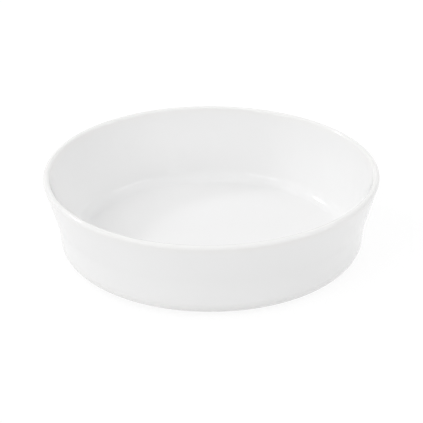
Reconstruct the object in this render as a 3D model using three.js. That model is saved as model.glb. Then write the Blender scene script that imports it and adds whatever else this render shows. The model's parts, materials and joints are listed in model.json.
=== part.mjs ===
// Creme brulee dish: a shallow round porcelain dish with a flared wall, a rounded lip and a foot ring.
// Millimetres, +Z up. The origin is the centre of the foot ring, on the table.
//
// The finished cross-section is drawn once, as a chain of tangent roundings in the (radius, height)
// plane. The glaze lies along that line, and the porcelain is the same line set in by the glaze's depth.

import * as THREE from 'three';

// Overall sizes of the finished dish
const RIM_DIAMETER = 120;
const HEIGHT = 30.5;

// Wall, lip and floor, with angles in degrees from upright
const LIP_THICKNESS = 2.3;
const WALL_THICKNESS = 2.4;
const FLOOR_THICKNESS = 2.5;
const FLARE_ANGLE = 15.75;
const WALL_DRAFT = 5.5;
const WAIST_HEIGHT = 13;
const WAIST_RADIUS = 30;
const BASE_EDGE_RADIUS = 5.6;
const INSIDE_FILLET_RADIUS = 4.5;

// Foot ring: the shelf is the flat underside between the rounded base edge and the ring
const FOOT_HEIGHT = 1;
const FOOT_SHELF = 2;
const FOOT_LAND = 2.6;
const FOOT_EDGE_RADIUS = 0.4;
const FOOT_FILLET_RADIUS = 0.4;
const RECESS_DEPTH = 0.8;

// Glaze: the bond is the fused seam on the porcelain, drawn as a hairline gap, and the margin is the bare
// strip that is wiped clean beside the foot ring before firing
const GLAZE_THICKNESS = 0.3;
const GLAZE_BOND = 0.05;
const GLAZE_MARGIN = 0.5;

// Facets: the chord error is how far a flat facet may lie from a rounding of the section
const SIDES = 60;
const CHORD_ERROR = 0.05;
const SAME_PLACE = 0.001;

// Finishes
const GLAZE_FINISH = new THREE.MeshStandardMaterial({ color: 0xf5f5f2, roughness: 0.12, metalness: 0 });
const BISCUIT_FINISH = new THREE.MeshStandardMaterial({ color: 0xe8dfcc, roughness: 0.75, metalness: 0 });

const RIGHT_ANGLE = Math.PI / 2;
const STRAIGHT_ANGLE = Math.PI;

// Outward direction of a wall that leans out by an angle from upright
function outwardOf(lean) {
  return new THREE.Vector2(Math.cos(lean), -Math.sin(lean));
}

// A rounding of the section. A hollow one has its centre in the open, a full one in the material.
function rounding(centre, radius, from, to, hollow) {
  return { centre, radius, from, to, hollow };
}

// Points along a rounding, set into the material by a depth. The steps follow the finished radius, so that
// the facets of each layer lie parallel.
function roundingPoints({ centre, radius, from, to, hollow }, depth) {
  const setRadius = hollow ? radius + depth : radius - depth;
  const stepAngle = 2 * Math.acos(1 - CHORD_ERROR / radius);
  const steps = Math.ceil(Math.abs(to - from) / stepAngle);
  const clockwise = to < from;
  const curve = new THREE.EllipseCurve(centre.x, centre.y, setRadius, setRadius, from, to, clockwise);
  return curve.getPoints(steps);
}

// Centre of a rounding between a level surface and a wall that leans out and passes through a point
function levelCornerCentre(wallPoint, lean, height, radius) {
  const outward = outwardOf(lean);
  const reach = wallPoint.dot(outward) - radius;
  return new THREE.Vector2((reach - height * outward.y) / outward.x, height);
}

// Centre of the bend, outside the dish, where a wall changes its lean at a point
function bendCentre(point, lowerLean, upperLean, radius) {
  const middle = outwardOf((lowerLean + upperLean) / 2);
  const distance = radius / Math.cos((upperLean - lowerLean) / 2);
  return point.clone().addScaledVector(middle, distance);
}

// Outside of the wall: the flare hangs from the lip, and the lower wall from the waist
const flare = THREE.MathUtils.degToRad(FLARE_ANGLE);
const draft = THREE.MathUtils.degToRad(WALL_DRAFT);
const lipRadius = LIP_THICKNESS / 2;
const lipCentre = new THREE.Vector2(RIM_DIAMETER / 2 - lipRadius, HEIGHT - lipRadius);
const flareTop = lipCentre.clone().addScaledVector(outwardOf(flare), lipRadius);
const waist = new THREE.Vector2(flareTop.x - (flareTop.y - WAIST_HEIGHT) * Math.tan(flare), WAIST_HEIGHT);
const baseCentre = levelCornerCentre(waist, draft, FOOT_HEIGHT + BASE_EDGE_RADIUS, BASE_EDGE_RADIUS);

// Inside of the wall: one straight taper, tangent to the lip and set in from the waist by the thickness
const insideWaist = waist.clone().addScaledVector(outwardOf(flare), -WALL_THICKNESS);
const waistToLip = lipCentre.clone().sub(insideWaist);
const insideLean = Math.atan2(waistToLip.x, waistToLip.y) - Math.asin(lipRadius / waistToLip.length());
const floorHeight = RECESS_DEPTH + FLOOR_THICKNESS;
const filletCentre = levelCornerCentre(
  insideWaist, insideLean, floorHeight + INSIDE_FILLET_RADIUS, INSIDE_FILLET_RADIUS);

// The finished line, from the inside floor up the inner wall, over the lip and down to the underside. The lip
// is drawn in stretches that meet at its top and its outermost point, so that both lie on the facets.
const finishedRoundings = [
  rounding(filletCentre, INSIDE_FILLET_RADIUS, -RIGHT_ANGLE, -insideLean, true),
  rounding(lipCentre, lipRadius, STRAIGHT_ANGLE - insideLean, RIGHT_ANGLE, false),
  rounding(lipCentre, lipRadius, RIGHT_ANGLE, 0, false),
  rounding(lipCentre, lipRadius, 0, -flare, false),
  rounding(bendCentre(waist, draft, flare, WAIST_RADIUS), WAIST_RADIUS,
    STRAIGHT_ANGLE - flare, STRAIGHT_ANGLE - draft, true),
  rounding(baseCentre, BASE_EDGE_RADIUS, -draft, -RIGHT_ANGLE, false),
];

// The finished line set into the material by a depth, starting on the axis. Where two roundings meet, the
// point that they share is kept once.
function coveredLine(depth) {
  const line = [new THREE.Vector2(0, floorHeight - depth)];
  for (const point of finishedRoundings.flatMap((part) => roundingPoints(part, depth))) {
    const repeated = point.distanceTo(line.at(-1)) < SAME_PLACE;
    if (!repeated) {
      line.push(point);
    }
  }
  return line;
}

// Foot ring: bare porcelain that stands below the underside and carries the dish
const footOuterRadius = baseCentre.x - FOOT_SHELF;
const footInnerRadius = footOuterRadius - FOOT_LAND;
const glazeDepth = GLAZE_THICKNESS + GLAZE_BOND;

// Round the foot ring from the shelf outside it to the recess inside it, as porcelain
function footLine() {
  const shelf = FOOT_HEIGHT + glazeDepth;
  const recess = RECESS_DEPTH + glazeDepth;
  const outerFillet = new THREE.Vector2(footOuterRadius + FOOT_FILLET_RADIUS, shelf - FOOT_FILLET_RADIUS);
  const outerEdge = new THREE.Vector2(footOuterRadius - FOOT_EDGE_RADIUS, FOOT_EDGE_RADIUS);
  const innerEdge = new THREE.Vector2(footInnerRadius + FOOT_EDGE_RADIUS, FOOT_EDGE_RADIUS);
  const innerFillet = new THREE.Vector2(footInnerRadius - FOOT_FILLET_RADIUS, recess - FOOT_FILLET_RADIUS);
  const roundings = [
    rounding(outerFillet, FOOT_FILLET_RADIUS, RIGHT_ANGLE, STRAIGHT_ANGLE, true),
    rounding(outerEdge, FOOT_EDGE_RADIUS, 0, -RIGHT_ANGLE, false),
    rounding(innerEdge, FOOT_EDGE_RADIUS, -RIGHT_ANGLE, -STRAIGHT_ANGLE, false),
    rounding(innerFillet, FOOT_FILLET_RADIUS, 0, RIGHT_ANGLE, true),
  ];
  return roundings.flatMap((part) => roundingPoints(part, 0));
}

// The fired porcelain: floor, wall, lip core and foot ring in one piece
function bodySection() {
  const middleOfRecess = new THREE.Vector2(0, RECESS_DEPTH + glazeDepth);
  return [...coveredLine(glazeDepth), ...footLine(), middleOfRecess];
}

// The glass coat over everything but the foot ring and the recess inside it
function coatSection() {
  const edgeRadius = footOuterRadius + FOOT_FILLET_RADIUS + GLAZE_MARGIN;
  const face = new THREE.Vector2(edgeRadius, FOOT_HEIGHT);
  const back = new THREE.Vector2(edgeRadius, FOOT_HEIGHT + GLAZE_THICKNESS);
  return [...coveredLine(0), face, back, ...coveredLine(GLAZE_THICKNESS).reverse()];
}

// The glass coat on the underside, inside the foot ring
function baseCoatSection() {
  const edgeRadius = footInnerRadius - FOOT_FILLET_RADIUS - GLAZE_MARGIN;
  const face = RECESS_DEPTH;
  const back = RECESS_DEPTH + GLAZE_THICKNESS;
  return [
    new THREE.Vector2(0, back),
    new THREE.Vector2(edgeRadius, back),
    new THREE.Vector2(edgeRadius, face),
    new THREE.Vector2(0, face),
  ];
}

// One piece of the dish: its section, turned about the dish's axis. The section runs clockwise round the
// material, and the lathe takes it the other way to face outwards.
function revolved(name, section, finish) {
  const geometry = new THREE.LatheGeometry(section.reverse(), SIDES);
  geometry.rotateX(RIGHT_ANGLE);
  const piece = new THREE.Mesh(geometry, finish);
  piece.name = name;
  return piece;
}

const dish = new THREE.Group();
dish.add(revolved('porcelain_body', bodySection(), BISCUIT_FINISH));
dish.add(revolved('glaze_coat', coatSection(), GLAZE_FINISH));
dish.add(revolved('base_glaze', baseCoatSection(), GLAZE_FINISH));

export default dish;
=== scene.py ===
"""White porcelain creme brulee dish: its glaze, its bare porcelain and the stage that it is shown on.

The finished cross-section is a chain of tangent roundings in the (radius, height) plane. The glaze lies
along that line, and the porcelain is the same line set in by the glaze's depth. A disc of glaze on the
underside has a section of its own. Each piece is its section, turned about the dish's axis.
Lengths are in metres, +Z is up, and the origin is the centre of the foot ring, on the table.
"""

import json
import math
from typing import NamedTuple

import bpy
import numpy as np
from bpy.props import FloatProperty, FloatVectorProperty, PointerProperty
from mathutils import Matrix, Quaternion, Vector

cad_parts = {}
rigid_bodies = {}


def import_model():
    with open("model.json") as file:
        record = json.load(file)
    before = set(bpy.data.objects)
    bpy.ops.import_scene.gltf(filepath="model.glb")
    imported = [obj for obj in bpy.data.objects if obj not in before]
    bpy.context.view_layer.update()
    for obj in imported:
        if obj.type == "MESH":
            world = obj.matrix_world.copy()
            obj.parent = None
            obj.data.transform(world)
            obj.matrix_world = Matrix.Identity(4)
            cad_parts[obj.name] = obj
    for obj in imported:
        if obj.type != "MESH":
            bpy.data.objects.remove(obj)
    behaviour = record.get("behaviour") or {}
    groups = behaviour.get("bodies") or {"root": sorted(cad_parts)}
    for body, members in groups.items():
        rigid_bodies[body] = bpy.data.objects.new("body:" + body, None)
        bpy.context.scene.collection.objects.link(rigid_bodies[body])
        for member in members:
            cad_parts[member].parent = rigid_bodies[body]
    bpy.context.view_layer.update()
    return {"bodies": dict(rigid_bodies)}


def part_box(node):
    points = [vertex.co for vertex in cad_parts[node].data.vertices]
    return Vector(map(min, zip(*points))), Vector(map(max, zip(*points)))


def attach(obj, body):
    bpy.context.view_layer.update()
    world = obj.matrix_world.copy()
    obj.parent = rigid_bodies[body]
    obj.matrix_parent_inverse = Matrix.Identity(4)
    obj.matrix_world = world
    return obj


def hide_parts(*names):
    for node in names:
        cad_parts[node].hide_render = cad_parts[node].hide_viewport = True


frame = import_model()

bl_info = {
    "name": "Creme Brulee Dish",
    "version": (1, 0, 0),
    "blender": (4, 5, 0),
    "location": "3D View > Sidebar > Dish",
    "description": "Makes a glazed porcelain dish and the stage that it is shown on",
    "category": "Add Mesh",
}

DISH_BODY = next(iter(frame["bodies"]))
COAT_LOW, COAT_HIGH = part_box("glaze_coat")
DISC_LOW, DISC_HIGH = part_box("base_glaze")

MM = 0.001
RIGHT_ANGLE = math.pi / 2
STRAIGHT_ANGLE = math.pi
FULL_TURN = 2 * math.pi
WHITE = (1.0, 1.0, 1.0, 1.0)

# Fineness of the meshes: how far a chord may lie from a rounding, the longest straight step of a section,
# and the steps round the axis
CHORD_ERROR = 0.002 * MM
LONGEST_STEP = 2 * MM
STEPS_AROUND = 240

# The attribute that tells the glaze where it gathers in hollows, up to 1, and where it runs thin over edges,
# down to -1. The same values place painted light in the hollows and painted shade on the edges
POOL_AND_LIGHT_ATTRIBUTE = "glaze_pool"

# Place of glaze of even depth on a scale where the thinnest glaze is 0 and the deepest is 1; the same scale
# runs from the most painted shade to the most painted light
EVEN_DEPTH = 0.5

# Detail of each noise in the materials: how many times finer noise is laid over it
CLOUD_DETAIL = 3.0
DULLNESS_DETAIL = 2.0
RIPPLE_DETAIL = 1.0
WEAR_DETAIL = 4.0
GRAIN_DETAIL = 2.0

# Strength of light at which the background is seen as white
SEEN_WHITE = 1.0


class Lamp(NamedTuple):
    """A far round lamp: where it stands and how wide it looks from the dish, in degrees, how much light it
    gives a surface that faces it, and whether it shows in the glaze."""

    azimuth: float
    elevation: float
    width: float
    light: float
    mirrored: bool


# The lamps of the stage. The strong broad ones light the dish without showing in its glaze, because its flat
# floor would mirror one whole and turn white.
LAMPS = {
    "key": Lamp(151, 38, 8, 0.132, True),
    "softbox": Lamp(225, 34, 36, 0.198, False),
    "side": Lamp(-10, 30, 45, 0.109, False),
    "top": Lamp(200, 60, 45, 0.144, False),
    "back": Lamp(90, 45, 45, 0.112, False),
    "high_side": Lamp(-20, 50, 60, 0.078, True),
    "left_strip": Lamp(217, 23, 14, 0.033, True),
    "right_strip": Lamp(233, 23, 14, 0.033, True),
    "side_strip": Lamp(-10, 20, 16, 0.05, True),
    "front_strip": Lamp(-27, 21, 16, 0.04, True),
}


def length(name, description, default):
    """A length that a user can change."""
    return FloatProperty(
        name=name, description=description, default=default, min=0.0, precision=5,
        subtype="DISTANCE", unit="LENGTH",
    )


def angle(name, description, degrees):
    """An angle that a user can change, given here in degrees."""
    return FloatProperty(
        name=name, description=description, default=math.radians(degrees), subtype="ANGLE", unit="ROTATION",
    )


def number(name, description, default):
    """A plain number that a user can change."""
    return FloatProperty(name=name, description=description, default=default, min=0.0, precision=4)


def colour(name, description, default):
    """A colour that a user can change, in linear red, green and blue."""
    return FloatVectorProperty(
        name=name, description=description, default=(*default, 1.0), size=4, min=0.0, max=1.0,
        subtype="COLOR",
    )


class DishSizes(bpy.types.PropertyGroup):
    """Sizes of the finished dish."""

    rim_diameter: length("Rim diameter", "Across the outside of the lip", COAT_HIGH.x - COAT_LOW.x)
    height: length("Height", "From the table to the top of the lip", COAT_HIGH.z)
    lip_thickness: length("Lip thickness", "Across the rounded lip", 2.3 * MM)
    wall_thickness: length("Wall thickness", "Across the wall at the waist", 2.4 * MM)
    floor_thickness: length("Floor thickness", "From the underside to the inside floor", 2.5 * MM)
    flare_angle: angle("Flare", "Lean of the upper wall from upright", 15.75)
    wall_draft: angle("Draft", "Lean of the lower wall from upright", 5.5)
    waist_height: length("Waist height", "Where the wall changes its lean", 13 * MM)
    waist_radius: length("Waist radius", "Rounding of the change of lean", 30 * MM)
    base_edge_radius: length("Base edge radius", "Rounding from the wall to the underside", 5.6 * MM)
    inside_fillet_radius: length("Inside fillet radius", "Rounding from the floor to the wall", 4.5 * MM)
    foot_height: length("Foot height", "From the table to the underside", COAT_LOW.z)
    foot_shelf: length("Foot shelf", "From the base edge's rounding to the foot ring", 2 * MM)
    foot_land: length("Foot land", "Width of the foot ring", 2.6 * MM)
    foot_edge_radius: length("Foot edge radius", "Rounding of the foot ring's edges", 0.4 * MM)
    foot_fillet_radius: length("Foot fillet radius", "Rounding beside the foot ring", 0.4 * MM)
    recess_depth: length("Recess depth", "From the table to the recess in the foot ring", DISC_LOW.z)
    glaze_thickness: length("Glaze thickness", "Depth of the glaze", DISC_HIGH.z - DISC_LOW.z)
    glaze_bond: length("Glaze bond", "Fused seam between glaze and porcelain", 0.05 * MM)
    glaze_margin: length("Glaze margin", "Bare strip beside the foot ring", 0.5 * MM)
    out_of_round: length("Out of round", "How much wider than a circle the fired rim is along X", 0.12 * MM)
    rim_sway: length("Rim sway", "How far the fired rim rises and sinks from level", 0.3 * MM)
    sway_azimuth: angle("Sway azimuth", "Where the fired rim is highest, from +X towards +Y", 140.0)


class DishFinish(bpy.types.PropertyGroup):
    """Colours and surfaces of the glaze and of the bare porcelain."""

    glaze_colour: colour("Glaze", "Glaze of even depth", (0.892, 0.892, 0.892))
    # Pooled glaze is lighter than even glaze: painted light in hollows such as the fillet round the inside
    # floor, on top of the deeper glaze's own colour
    pooled_and_lit_colour: colour("Pooled glaze", "Glaze that gathers in a hollow", (0.908, 0.910, 0.910))
    # Thin glaze is warmer and a little darker than even glaze: the thinner glaze's own colour, with painted
    # shade on the lip and the base edge
    thin_and_shaded_colour: colour("Thin glaze", "Glaze that runs thin over an edge", (0.888, 0.885, 0.878))
    # Reach and spread of where the glaze gathers or runs thin, and so of the painted light in hollows and
    # the painted shade on edges
    pool_and_light_reach: length("Pooling reach", "Rounding at which glaze begins to gather or to run thin", 4 * MM)
    pool_and_light_spread: length("Pooling spread", "How softly pooled glaze fades out", 1.5 * MM)
    cloud_size: length("Cloud size", "Size of the faint clouds in the glaze", 18 * MM)
    cloud_strength: number("Cloud strength", "How much a cloud counts as gathered or as thin glaze", 0.15)
    dull_patch_size: length("Dull patch size", "Size of the duller patches of the glaze", 9 * MM)
    smooth_roughness: number("Smoothest glaze", "Roughness where the glaze is smoothest", 0.04)
    dull_roughness: number("Dullest glaze", "Roughness where the glaze is dullest", 0.08)
    ripple_size: length("Ripple size", "Size of the faint ripples of the fired glaze", 3 * MM)
    ripple_depth: length("Ripple depth", "Depth of the faint ripples of the fired glaze", 0.012 * MM)
    biscuit_colour: colour("Biscuit", "Bare fired porcelain", (0.80, 0.74, 0.63))
    worn_colour: colour("Worn biscuit", "Bare porcelain, rubbed grey by tables", (0.62, 0.58, 0.51))
    wear_size: length("Wear size", "Size of the rubbed patches of bare porcelain", 6 * MM)
    wear_start: number("Wear start", "Value of the wear's noise, from 0 to 1, where rubbing begins", 0.35)
    wear_end: number("Wear end", "Value of the wear's noise, from 0 to 1, where rubbing is strongest", 0.75)
    fine_roughness: number("Smoothest biscuit", "Roughness where bare porcelain is smoothest", 0.65)
    coarse_roughness: number("Roughest biscuit", "Roughness where bare porcelain is roughest", 0.85)
    grain_size: length("Grain size", "Size of the grain of bare porcelain", 0.35 * MM)
    grain_depth: length("Grain depth", "Depth of the grain of bare porcelain", 0.03 * MM)


class StageSettings(bpy.types.PropertyGroup):
    """Camera, lamps and floor."""

    camera_distance: length("Camera distance", "From the aim point to the camera", 0.6)
    camera_elevation: angle("Camera elevation", "Above the horizon", 26.31)
    camera_roll: angle("Camera roll", "Turn about the line of sight", -0.34)
    aim_height: length("Aim height", "Point on the axis that the camera looks at", 13.84 * MM)
    lens: FloatProperty(name="Lens", description="Focal length", default=140.89, unit="CAMERA")
    sky_light: number("Sky light", "Light from all round on matt surfaces", 0.437)
    floor_reach: length("Floor reach", "From the dish to the floor's edges", 4.0)
    floor_bounce: number("Floor bounce", "Share of the light that the floor throws back", 0.90)
    floor_shade: number("Floor shade", "How strongly the floor shows the dish's shadow", 0.12)
    floor_white: number("Floor white", "White of the floor itself, as seen", 0.90)


def lamp_settings(name, lamp):
    """What a user can change of one lamp, under the lamp's name."""
    label = name.replace("_", " ").capitalize()
    return {
        f"{name}_azimuth": angle(f"{label} azimuth", "From +X towards +Y", lamp.azimuth),
        f"{name}_elevation": angle(f"{label} elevation", "Above the horizon", lamp.elevation),
        f"{name}_width": angle(f"{label} width", "Across the lamp, as seen from the dish", lamp.width),
        f"{name}_light": number(f"{label} light", "Light on a surface that faces the lamp", lamp.light),
    }


# The settings of each lamp join those of the stage
for lamp_name, stage_lamp in LAMPS.items():
    StageSettings.__annotations__.update(lamp_settings(lamp_name, stage_lamp))


class Rounding(NamedTuple):
    """An arc of the section. A hollow one has its centre in the open, a full one in the material."""

    centre: np.ndarray
    radius: float
    start: float
    end: float
    hollow: bool


def outward_of(lean):
    """Direction straight out of a wall that leans out from upright: (cos lean, -sin lean)."""
    return np.array((math.cos(lean), -math.sin(lean)))


def level_corner_centre(wall_point, lean, height, radius):
    """Centre, at a height, of a rounding that touches a wall through a point: its distance along the wall's
    outward direction is the wall's own distance less the radius."""
    outward = outward_of(lean)
    reach = wall_point @ outward - radius
    return np.array(((reach - height * outward[1]) / outward[0], height))


def bend_centre(point, lower_lean, upper_lean, radius):
    """Centre of the bend at a point where a wall changes its lean: out along the mean of the two outward
    directions by radius / cos(half the change)."""
    outward = outward_of((lower_lean + upper_lean) / 2)
    return point + outward * radius / math.cos((upper_lean - lower_lean) / 2)


def rounding_points(arc, depth=0.0):
    """Points of an arc set into the material: centre + (radius + depth, or - depth if full) (cos a, sin a),
    with the angle a in even steps from start to end."""
    set_radius = arc.radius + depth if arc.hollow else arc.radius - depth
    step = 2 * math.acos(1 - CHORD_ERROR / arc.radius)
    count = math.ceil(abs(arc.end - arc.start) / step) + 1
    turn = np.linspace(arc.start, arc.end, count)
    return arc.centre + set_radius * np.column_stack((np.cos(turn), np.sin(turn)))


def split_stretches(line):
    """The same line with its long straight stretches cut into equal steps: point i of a stretch from p to q,
    cut in n, is p + (q - p) i / n."""
    stretch = np.diff(line, axis=0)
    cuts = np.maximum(np.ceil(np.hypot(*stretch.T) / LONGEST_STEP).astype(int), 1)
    which = np.repeat(np.arange(len(cuts)), cuts)
    place = np.arange(len(which)) - np.repeat(np.cumsum(cuts) - cuts, cuts)
    inner = line[which] + stretch[which] * (place / cuts[which])[:, None]
    return np.concatenate((inner, line[-1:]))


class Section:
    """The finished cross-section, worked out from the sizes. The line of each piece runs clockwise round its
    material, and starts and ends on the axis."""

    def __init__(self, sizes):
        self.sizes = sizes
        flare, draft = sizes.flare_angle, sizes.wall_draft

        # Outside of the wall: the flare hangs from the lip, and the lower wall from the waist
        lip_radius = sizes.lip_thickness / 2
        lip_centre = np.array((sizes.rim_diameter / 2 - lip_radius, sizes.height - lip_radius))
        flare_top = lip_centre + outward_of(flare) * lip_radius
        drop = flare_top[1] - sizes.waist_height
        waist = np.array((flare_top[0] - drop * math.tan(flare), sizes.waist_height))
        base_centre = level_corner_centre(
            waist, draft, sizes.foot_height + sizes.base_edge_radius, sizes.base_edge_radius)

        # Inside of the wall: one straight taper, from the lip down to the fillet
        inside_waist = waist - outward_of(flare) * sizes.wall_thickness
        to_lip = lip_centre - inside_waist
        inside_lean = math.atan2(*to_lip) - math.asin(lip_radius / math.hypot(*to_lip))
        self.floor_height = sizes.recess_depth + sizes.floor_thickness
        fillet_centre = level_corner_centre(
            inside_waist, inside_lean, self.floor_height + sizes.inside_fillet_radius,
            sizes.inside_fillet_radius)

        # From the inside floor up the inner wall, over the lip and down to the underside
        self.roundings = (
            Rounding(fillet_centre, sizes.inside_fillet_radius, -RIGHT_ANGLE, -inside_lean, True),
            Rounding(lip_centre, lip_radius, STRAIGHT_ANGLE - inside_lean, -flare, False),
            Rounding(bend_centre(waist, draft, flare, sizes.waist_radius), sizes.waist_radius,
                     STRAIGHT_ANGLE - flare, STRAIGHT_ANGLE - draft, True),
            Rounding(base_centre, sizes.base_edge_radius, -draft, -RIGHT_ANGLE, False),
        )
        self.foot_outer = base_centre[0] - sizes.foot_shelf
        self.foot_inner = self.foot_outer - sizes.foot_land

    def covered_line(self, depth):
        """The glazed line, set into the material by a depth, from the axis to the underside."""
        middle = np.array([(0.0, self.floor_height - depth)])
        return np.concatenate((middle, *(rounding_points(arc, depth) for arc in self.roundings)))

    def glaze_line(self):
        """Round the glaze: along its face, round the bead where it stops beside the foot, and back along the
        porcelain."""
        thickness = self.sizes.glaze_thickness
        edge = self.foot_outer + self.sizes.foot_fillet_radius + self.sizes.glaze_margin
        centre = np.array((edge + thickness / 2, self.sizes.foot_height + thickness / 2))
        bead = Rounding(centre, thickness / 2, -RIGHT_ANGLE, -RIGHT_ANGLE - STRAIGHT_ANGLE, False)
        back = self.covered_line(thickness)[::-1]
        return np.concatenate((self.covered_line(0.0), rounding_points(bead), back))

    def porcelain_line(self):
        """Round the porcelain: under the glaze, round the foot ring and across the recess inside it."""
        sizes = self.sizes
        fillet, edge = sizes.foot_fillet_radius, sizes.foot_edge_radius
        depth = sizes.glaze_thickness + sizes.glaze_bond
        shelf = sizes.foot_height + depth
        recess = sizes.recess_depth + depth
        foot = (
            Rounding(np.array((self.foot_outer + fillet, shelf - fillet)), fillet,
                     RIGHT_ANGLE, STRAIGHT_ANGLE, True),
            Rounding(np.array((self.foot_outer - edge, edge)), edge, 0.0, -RIGHT_ANGLE, False),
            Rounding(np.array((self.foot_inner + edge, edge)), edge, -RIGHT_ANGLE, -STRAIGHT_ANGLE, False),
            Rounding(np.array((self.foot_inner - fillet, recess - fillet)), fillet, 0.0, RIGHT_ANGLE, True),
        )
        middle = np.array([(0.0, recess)])
        return np.concatenate((self.covered_line(depth), *map(rounding_points, foot), middle))

    def disc_line(self):
        """Round the disc of glaze in the recess: out along the porcelain, round its bead, and back along its
        face."""
        thickness = self.sizes.glaze_thickness
        edge = self.foot_inner - self.sizes.foot_fillet_radius - self.sizes.glaze_margin
        centre = np.array((edge - thickness / 2, self.sizes.recess_depth + thickness / 2))
        bead = Rounding(centre, thickness / 2, RIGHT_ANGLE, -RIGHT_ANGLE, False)
        back = np.array([(0.0, self.sizes.recess_depth + thickness)])
        face = np.array([(0.0, self.sizes.recess_depth)])
        return np.concatenate((back, rounding_points(bead), face))


def pooling_and_painted_light(line, finish):
    """How the glaze gathers along a line, and so where painted light goes in hollows and painted shade on
    edges:
    tanh(reach * bend), where bend is the turning per length, positive in a hollow, averaged with a bell
    curve of the spread along the line."""
    stretch = np.diff(line, axis=0)
    heading = np.unwrap(np.arctan2(stretch[:, 1], stretch[:, 0]))
    turning = np.concatenate(((0.0,), np.diff(heading), (0.0,)))
    along = np.concatenate(((0.0,), np.cumsum(np.hypot(*stretch.T))))
    apart = (along[:, None] - along[None, :]) / finish.pool_and_light_spread
    bell = np.exp(-apart ** 2 / 2) / (finish.pool_and_light_spread * math.sqrt(FULL_TURN))
    return np.tanh(finish.pool_and_light_reach * (bell @ turning))


def turned_points(line, sizes):
    """The inner points of a line turned about the axis: (r, z) goes to (r' cos t, r' sin t, z'). Firing
    makes the rim slightly oval and uneven: r' = r (1 + rise a cos 2t) and z' = z + rise^2 b cos 2(t - h).
    The rise goes from 0 at the table to 1 at the lip, a is the out of round over the rim's diameter, b is
    the sway, and h is where the rim is highest."""
    radius, height = line[1:-1, 0, None], line[1:-1, 1, None]
    turn = np.linspace(0.0, FULL_TURN, STEPS_AROUND, endpoint=False)[None, :]
    rise = np.clip(height / sizes.height, 0.0, 1.0)
    oval = radius * (1 + rise * np.cos(2 * turn) * sizes.out_of_round / sizes.rim_diameter)
    sway = height + rise ** 2 * np.cos(2 * (turn - sizes.sway_azimuth)) * sizes.rim_sway
    return np.stack((oval * np.cos(turn), oval * np.sin(turn), sway), axis=-1)


def add_turned(name, line, sizes):
    """A closed piece: a line turned about the axis, with one vertex at each end, on the axis. The rings lie
    in a grid, ring i at angle j, and the faces go (i, j), (i + 1, j), (i + 1, j + 1), (i, j + 1)."""
    grid = turned_points(line, sizes)
    rings = len(grid)
    poles = np.column_stack((np.zeros((2, 2)), line[[0, -1], 1]))
    first_pole = rings * STEPS_AROUND
    last_pole = first_pole + 1

    place = np.arange(first_pole).reshape(rings, STEPS_AROUND)
    beside = np.roll(place, -1, axis=1)
    quads = np.stack((place[:-1], place[1:], beside[1:], beside[:-1]), axis=-1).reshape(-1, 4)
    first_fan = np.stack((np.full(STEPS_AROUND, first_pole), place[0], beside[0]), axis=-1)
    last_fan = np.stack((place[-1], np.full(STEPS_AROUND, last_pole), beside[-1]), axis=-1)
    corners = np.concatenate((quads.ravel(), first_fan.ravel(), last_fan.ravel()))
    face_sizes = np.concatenate((np.full(len(quads), 4), np.full(2 * STEPS_AROUND, 3)))

    mesh = bpy.data.meshes.new(name)
    mesh.vertices.add(last_pole + 1)
    mesh.vertices.foreach_set("co", np.concatenate((grid.reshape(-1, 3), poles)).ravel())
    mesh.loops.add(len(corners))
    mesh.loops.foreach_set("vertex_index", corners)
    mesh.polygons.add(len(face_sizes))
    mesh.polygons.foreach_set("loop_start", np.cumsum(face_sizes) - face_sizes)
    mesh.polygons.foreach_set("use_smooth", np.ones(len(face_sizes), bool))
    mesh.update(calc_edges=True)
    if mesh.validate():
        raise RuntimeError(f"{name}: the turned line gives faulty faces")
    piece = bpy.data.objects.new(name, mesh)
    bpy.context.scene.collection.objects.link(piece)
    return piece


def keep_pooling_and_painted_light(piece, line, finish):
    """Writes how the glaze gathers along a turned line, and so its painted light and shade, on the piece's
    vertices, ring by ring and then the two poles.
    """
    pool_and_light = pooling_and_painted_light(line, finish)
    values = np.concatenate((np.repeat(pool_and_light[1:-1], STEPS_AROUND), pool_and_light[[0, -1]]))
    attribute = piece.data.attributes.new(POOL_AND_LIGHT_ATTRIBUTE, "FLOAT", "POINT")
    attribute.data.foreach_set("value", values.astype(np.float32))


def add_node(tree, kind, inputs=None, **settings):
    """A node with its settings, and with each named input set to a value or linked to a socket."""
    node = tree.nodes.new(kind)
    for name, value in settings.items():
        setattr(node, name, value)
    for name, value in (inputs or {}).items():
        if isinstance(value, bpy.types.NodeSocket):
            tree.links.new(value, node.inputs[name])
        else:
            node.inputs[name].default_value = value
    return node


def empty_material(name):
    """A new material with no nodes, and its node tree."""
    material = bpy.data.materials.new(name)
    material.use_nodes = True
    material.node_tree.nodes.clear()
    return material, material.node_tree


def add_noise(tree, size, detail):
    """Soft noise in the object's own coordinates, with features of a size."""
    coordinates = add_node(tree, "ShaderNodeTexCoord")
    inputs = {"Vector": coordinates.outputs["Object"], "Scale": 1 / size, "Detail": detail}
    return add_node(tree, "ShaderNodeTexNoise", inputs).outputs["Fac"]


def add_ramp(tree, factor, stops):
    """Colours at places from 0 to 1 along a factor, with smooth changes between them."""
    ramp = add_node(tree, "ShaderNodeValToRGB", {"Fac": factor})
    ramp.color_ramp.interpolation = "EASE"
    elements = ramp.color_ramp.elements
    while len(elements) < len(stops):
        elements.new(1.0)
    for element, (place, shade) in zip(elements, stops):
        element.position = place
        element.color = shade
    return ramp.outputs["Color"]


def add_range(tree, value, low, high):
    """A value from 0 to 1 spread over the range from low to high, and beyond it in the same line."""
    inputs = {"Value": value, "To Min": low, "To Max": high}
    return add_node(tree, "ShaderNodeMapRange", inputs, clamp=False).outputs["Result"]


def add_math(tree, operation, first, second):
    """Two values put together by an operation, such as their sum or the larger one."""
    return add_node(tree, "ShaderNodeMath", {0: first, 1: second}, operation=operation).outputs["Value"]


def add_bump(tree, relief, depth):
    """The direction of a surface that has a fine relief of a depth."""
    return add_node(tree, "ShaderNodeBump", {"Height": relief, "Distance": depth}).outputs["Normal"]


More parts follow.
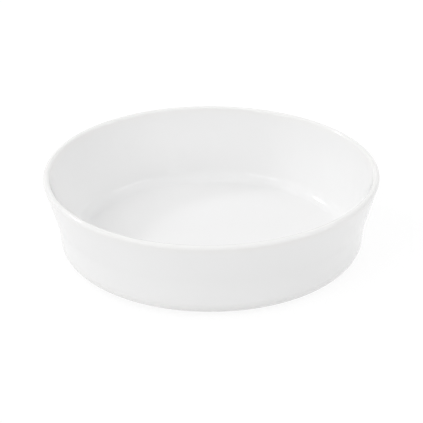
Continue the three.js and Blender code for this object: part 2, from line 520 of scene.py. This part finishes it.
def finish_surface(tree, inputs):
    """Ends a material in one principled surface."""
    surface = add_node(tree, "ShaderNodeBsdfPrincipled", inputs)
    add_node(tree, "ShaderNodeOutputMaterial", {"Surface": surface.outputs["BSDF"]})


def glaze_material(finish):
    """Glossy white glaze: lighter where it gathers in hollows, which is partly painted light, warmer and a
    little darker where it runs thin over edges, which is partly painted shade, faintly clouded, duller in
    patches, and with the shallow ripples that a fired glaze keeps."""
    material, tree = empty_material("white_glaze")
    pool_and_light = add_node(tree, "ShaderNodeAttribute", attribute_name=POOL_AND_LIGHT_ATTRIBUTE).outputs["Fac"]
    noise = add_noise(tree, finish.cloud_size, CLOUD_DETAIL)
    clouds = add_range(tree, noise, -finish.cloud_strength, finish.cloud_strength)
    # The depth of the glaze, with painted light where it gathers and painted shade where it runs thin
    depth = add_range(tree, add_math(tree, "ADD", pool_and_light, clouds), EVEN_DEPTH, 1.0)
    stops = ((0.0, finish.thin_and_shaded_colour), (EVEN_DEPTH, finish.glaze_colour), (1.0, finish.pooled_and_lit_colour))
    dullness = add_noise(tree, finish.dull_patch_size, DULLNESS_DETAIL)
    ripples = add_noise(tree, finish.ripple_size, RIPPLE_DETAIL)
    finish_surface(tree, {
        "Base Color": add_ramp(tree, depth, stops),
        "Roughness": add_range(tree, dullness, finish.smooth_roughness, finish.dull_roughness),
        "Normal": add_bump(tree, ripples, finish.ripple_depth),
    })
    return material


def biscuit_material(finish):
    """Bare fired porcelain: cream, matt, fine grained, and rubbed grey in patches."""
    material, tree = empty_material("bare_biscuit")
    wear = add_noise(tree, finish.wear_size, WEAR_DETAIL)
    stops = ((finish.wear_start, finish.biscuit_colour), (finish.wear_end, finish.worn_colour))
    grain = add_noise(tree, finish.grain_size, GRAIN_DETAIL)
    finish_surface(tree, {
        "Base Color": add_ramp(tree, wear, stops),
        "Roughness": add_range(tree, grain, finish.fine_roughness, finish.coarse_roughness),
        "Normal": add_bump(tree, grain, finish.grain_depth),
    })
    return material


def dress(piece, material, node):
    """Gives a piece its material, hides the CAD node that it stands for, and sets it on the body that it
    rides on.
    """
    piece.data.materials.append(material)
    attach(piece, DISH_BODY)
    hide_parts(node)


def make_glaze(scene, name, line, node):
    """Makes a piece of glaze: a line turned about the axis, with the attribute of where it gathers and runs
    thin, which also places painted light and shade, and with its finish.
    """
    sizes, finish = scene.dish_sizes, scene.dish_finish
    fine_line = split_stretches(line)
    piece = add_turned(name, fine_line, sizes)
    keep_pooling_and_painted_light(piece, fine_line, finish)
    dress(piece, glaze_material(finish), node)


class DISH_OT_glaze(bpy.types.Operator):
    """Make the glaze over the inside, the lip and the outside of the dish"""

    bl_idname = "dish.glaze"
    bl_label = "White Glaze"

    def execute(self, context):
        line = Section(context.scene.dish_sizes).glaze_line()
        make_glaze(context.scene, "white_glaze", line, "glaze_coat")
        return {"FINISHED"}


class DISH_OT_disc(bpy.types.Operator):
    """Make the disc of glaze on the underside, inside the foot ring"""

    bl_idname = "dish.disc"
    bl_label = "Underside Glaze"

    def execute(self, context):
        line = Section(context.scene.dish_sizes).disc_line()
        make_glaze(context.scene, "underside_glaze", line, "base_glaze")
        return {"FINISHED"}


class DISH_OT_porcelain(bpy.types.Operator):
    """Make the porcelain under the glaze, with its bare foot ring"""

    bl_idname = "dish.porcelain"
    bl_label = "Bare Porcelain"

    def execute(self, context):
        sizes, finish = context.scene.dish_sizes, context.scene.dish_finish
        line = split_stretches(Section(sizes).porcelain_line())
        piece = add_turned("bare_porcelain", line, sizes)
        dress(piece, biscuit_material(finish), "porcelain_body")
        return {"FINISHED"}


def seen_rays(tree):
    """1 for the rays that show a surface: the camera's, and those in reflections and through glass."""
    rays = add_node(tree, "ShaderNodeLightPath").outputs
    without_glass = add_math(tree, "MAXIMUM", rays["Is Camera Ray"], rays["Is Glossy Ray"])
    return add_math(tree, "MAXIMUM", without_glass, rays["Is Transmission Ray"])


def light_sky(scene, stage):
    """An even sky: white where it is seen, and of a set strength where it lights matt surfaces."""
    scene.world = bpy.data.worlds.new("studio_sky")
    scene.world.use_nodes = True
    tree = scene.world.node_tree
    tree.nodes.clear()
    light = add_node(tree, "ShaderNodeBackground", {"Color": WHITE, "Strength": stage.sky_light})
    seen = add_node(tree, "ShaderNodeBackground", {"Color": WHITE, "Strength": SEEN_WHITE})
    mixed = add_node(tree, "ShaderNodeMixShader", {
        "Fac": seen_rays(tree), 1: light.outputs["Background"], 2: seen.outputs["Background"],
    })
    add_node(tree, "ShaderNodeOutputWorld", {"Surface": mixed.outputs["Shader"]})


def floor_material(stage):
    """White paper: it throws back its share of the light, and is seen as white with a soft shadow."""
    material, tree = empty_material("white_paper")
    seen = seen_rays(tree)
    share = add_range(tree, seen, stage.floor_bounce, stage.floor_shade)
    lift = add_range(tree, seen, 0.0, stage.floor_white)
    paper = add_node(tree, "ShaderNodeBsdfDiffuse", {"Color": share})
    white = add_node(tree, "ShaderNodeEmission", {"Color": WHITE, "Strength": lift})
    added = add_node(tree, "ShaderNodeAddShader", {0: paper.outputs["BSDF"], 1: white.outputs["Emission"]})
    add_node(tree, "ShaderNodeOutputMaterial", {"Surface": added.outputs["Shader"]})
    return material


def add_floor(scene, stage):
    """A wide level square of paper under the dish."""
    reach = stage.floor_reach
    corners = [(-reach, -reach, 0.0), (reach, -reach, 0.0), (reach, reach, 0.0), (-reach, reach, 0.0)]
    mesh = bpy.data.meshes.new("floor")
    mesh.from_pydata(corners, [], [(0, 1, 2, 3)])
    mesh.materials.append(floor_material(stage))
    floor = bpy.data.objects.new("floor", mesh)
    scene.collection.objects.link(floor)


def direction_of(azimuth, elevation):
    """Unit vector at an azimuth from +X towards +Y and an elevation above the horizon."""
    level = math.cos(elevation)
    return Vector((level * math.cos(azimuth), level * math.sin(azimuth), math.sin(elevation)))


def add_lamp(scene, stage, name):
    """A far round lamp that shines on the dish. At a strength of pi times its light, white paper that faces
    it looks as bright as that light."""
    azimuth, elevation, width, light = (
        getattr(stage, f"{name}_{setting}") for setting in ("azimuth", "elevation", "width", "light"))
    shine = bpy.data.lights.new(name, "SUN")
    shine.angle = width
    shine.energy = math.pi * light
    lamp = bpy.data.objects.new(name, shine)
    lamp.visible_glossy = LAMPS[name].mirrored
    lamp.rotation_euler = (-direction_of(azimuth, elevation)).to_track_quat("-Z", "Y").to_euler()
    scene.collection.objects.link(lamp)


def add_camera(scene, stage):
    """A camera that looks along +Y and down on the axis."""
    data = bpy.data.cameras.new("camera")
    data.lens = stage.lens
    camera = bpy.data.objects.new("camera", data)
    back = direction_of(-RIGHT_ANGLE, stage.camera_elevation)
    camera.location = Vector((0.0, 0.0, stage.aim_height)) + back * stage.camera_distance
    roll = Quaternion((0.0, 0.0, 1.0), stage.camera_roll)
    camera.rotation_mode = "QUATERNION"
    camera.rotation_quaternion = (-back).to_track_quat("-Z", "Y") @ roll
    scene.collection.objects.link(camera)
    scene.camera = camera


class DISH_OT_stage(bpy.types.Operator):
    """Make the floor, the light and the camera"""

    bl_idname = "dish.stage"
    bl_label = "Stage"

    def execute(self, context):
        scene, stage = context.scene, context.scene.dish_stage
        scene.view_settings.view_transform = "Standard"
        light_sky(scene, stage)
        add_floor(scene, stage)
        for name in LAMPS:
            add_lamp(scene, stage, name)
        add_camera(scene, stage)
        return {"FINISHED"}


class DISH_PT_maker(bpy.types.Panel):
    """Lists what makes the dish, and the sizes and colours that it is made with"""

    bl_idname = "DISH_PT_maker"
    bl_label = "Creme Brulee Dish"
    bl_space_type = "VIEW_3D"
    bl_region_type = "UI"
    bl_category = "Dish"

    def draw(self, context):
        for maker in MAKERS:
            self.layout.operator(maker.bl_idname)
        for name, group in GROUPS.items():
            box = self.layout.box()
            for setting in group.__annotations__:
                box.prop(getattr(context.scene, name), setting)


MAKERS = (DISH_OT_glaze, DISH_OT_disc, DISH_OT_porcelain, DISH_OT_stage)
GROUPS = {"dish_sizes": DishSizes, "dish_finish": DishFinish, "dish_stage": StageSettings}


def register():
    """Adds the classes to Blender, and the groups of properties to its scenes."""
    for made in (*GROUPS.values(), *MAKERS, DISH_PT_maker):
        bpy.utils.register_class(made)
    for name, group in GROUPS.items():
        setattr(bpy.types.Scene, name, PointerProperty(type=group))


def unregister():
    """Takes the classes and the groups of properties out again."""
    for name in GROUPS:
        delattr(bpy.types.Scene, name)
    for made in (DISH_PT_maker, *MAKERS, *GROUPS.values()):
        bpy.utils.unregister_class(made)


def main():
    """Makes the dish and its stage."""
    register()
    bpy.ops.dish.glaze()
    bpy.ops.dish.disc()
    bpy.ops.dish.porcelain()
    bpy.ops.dish.stage()


if __name__ == "__main__":
    main()
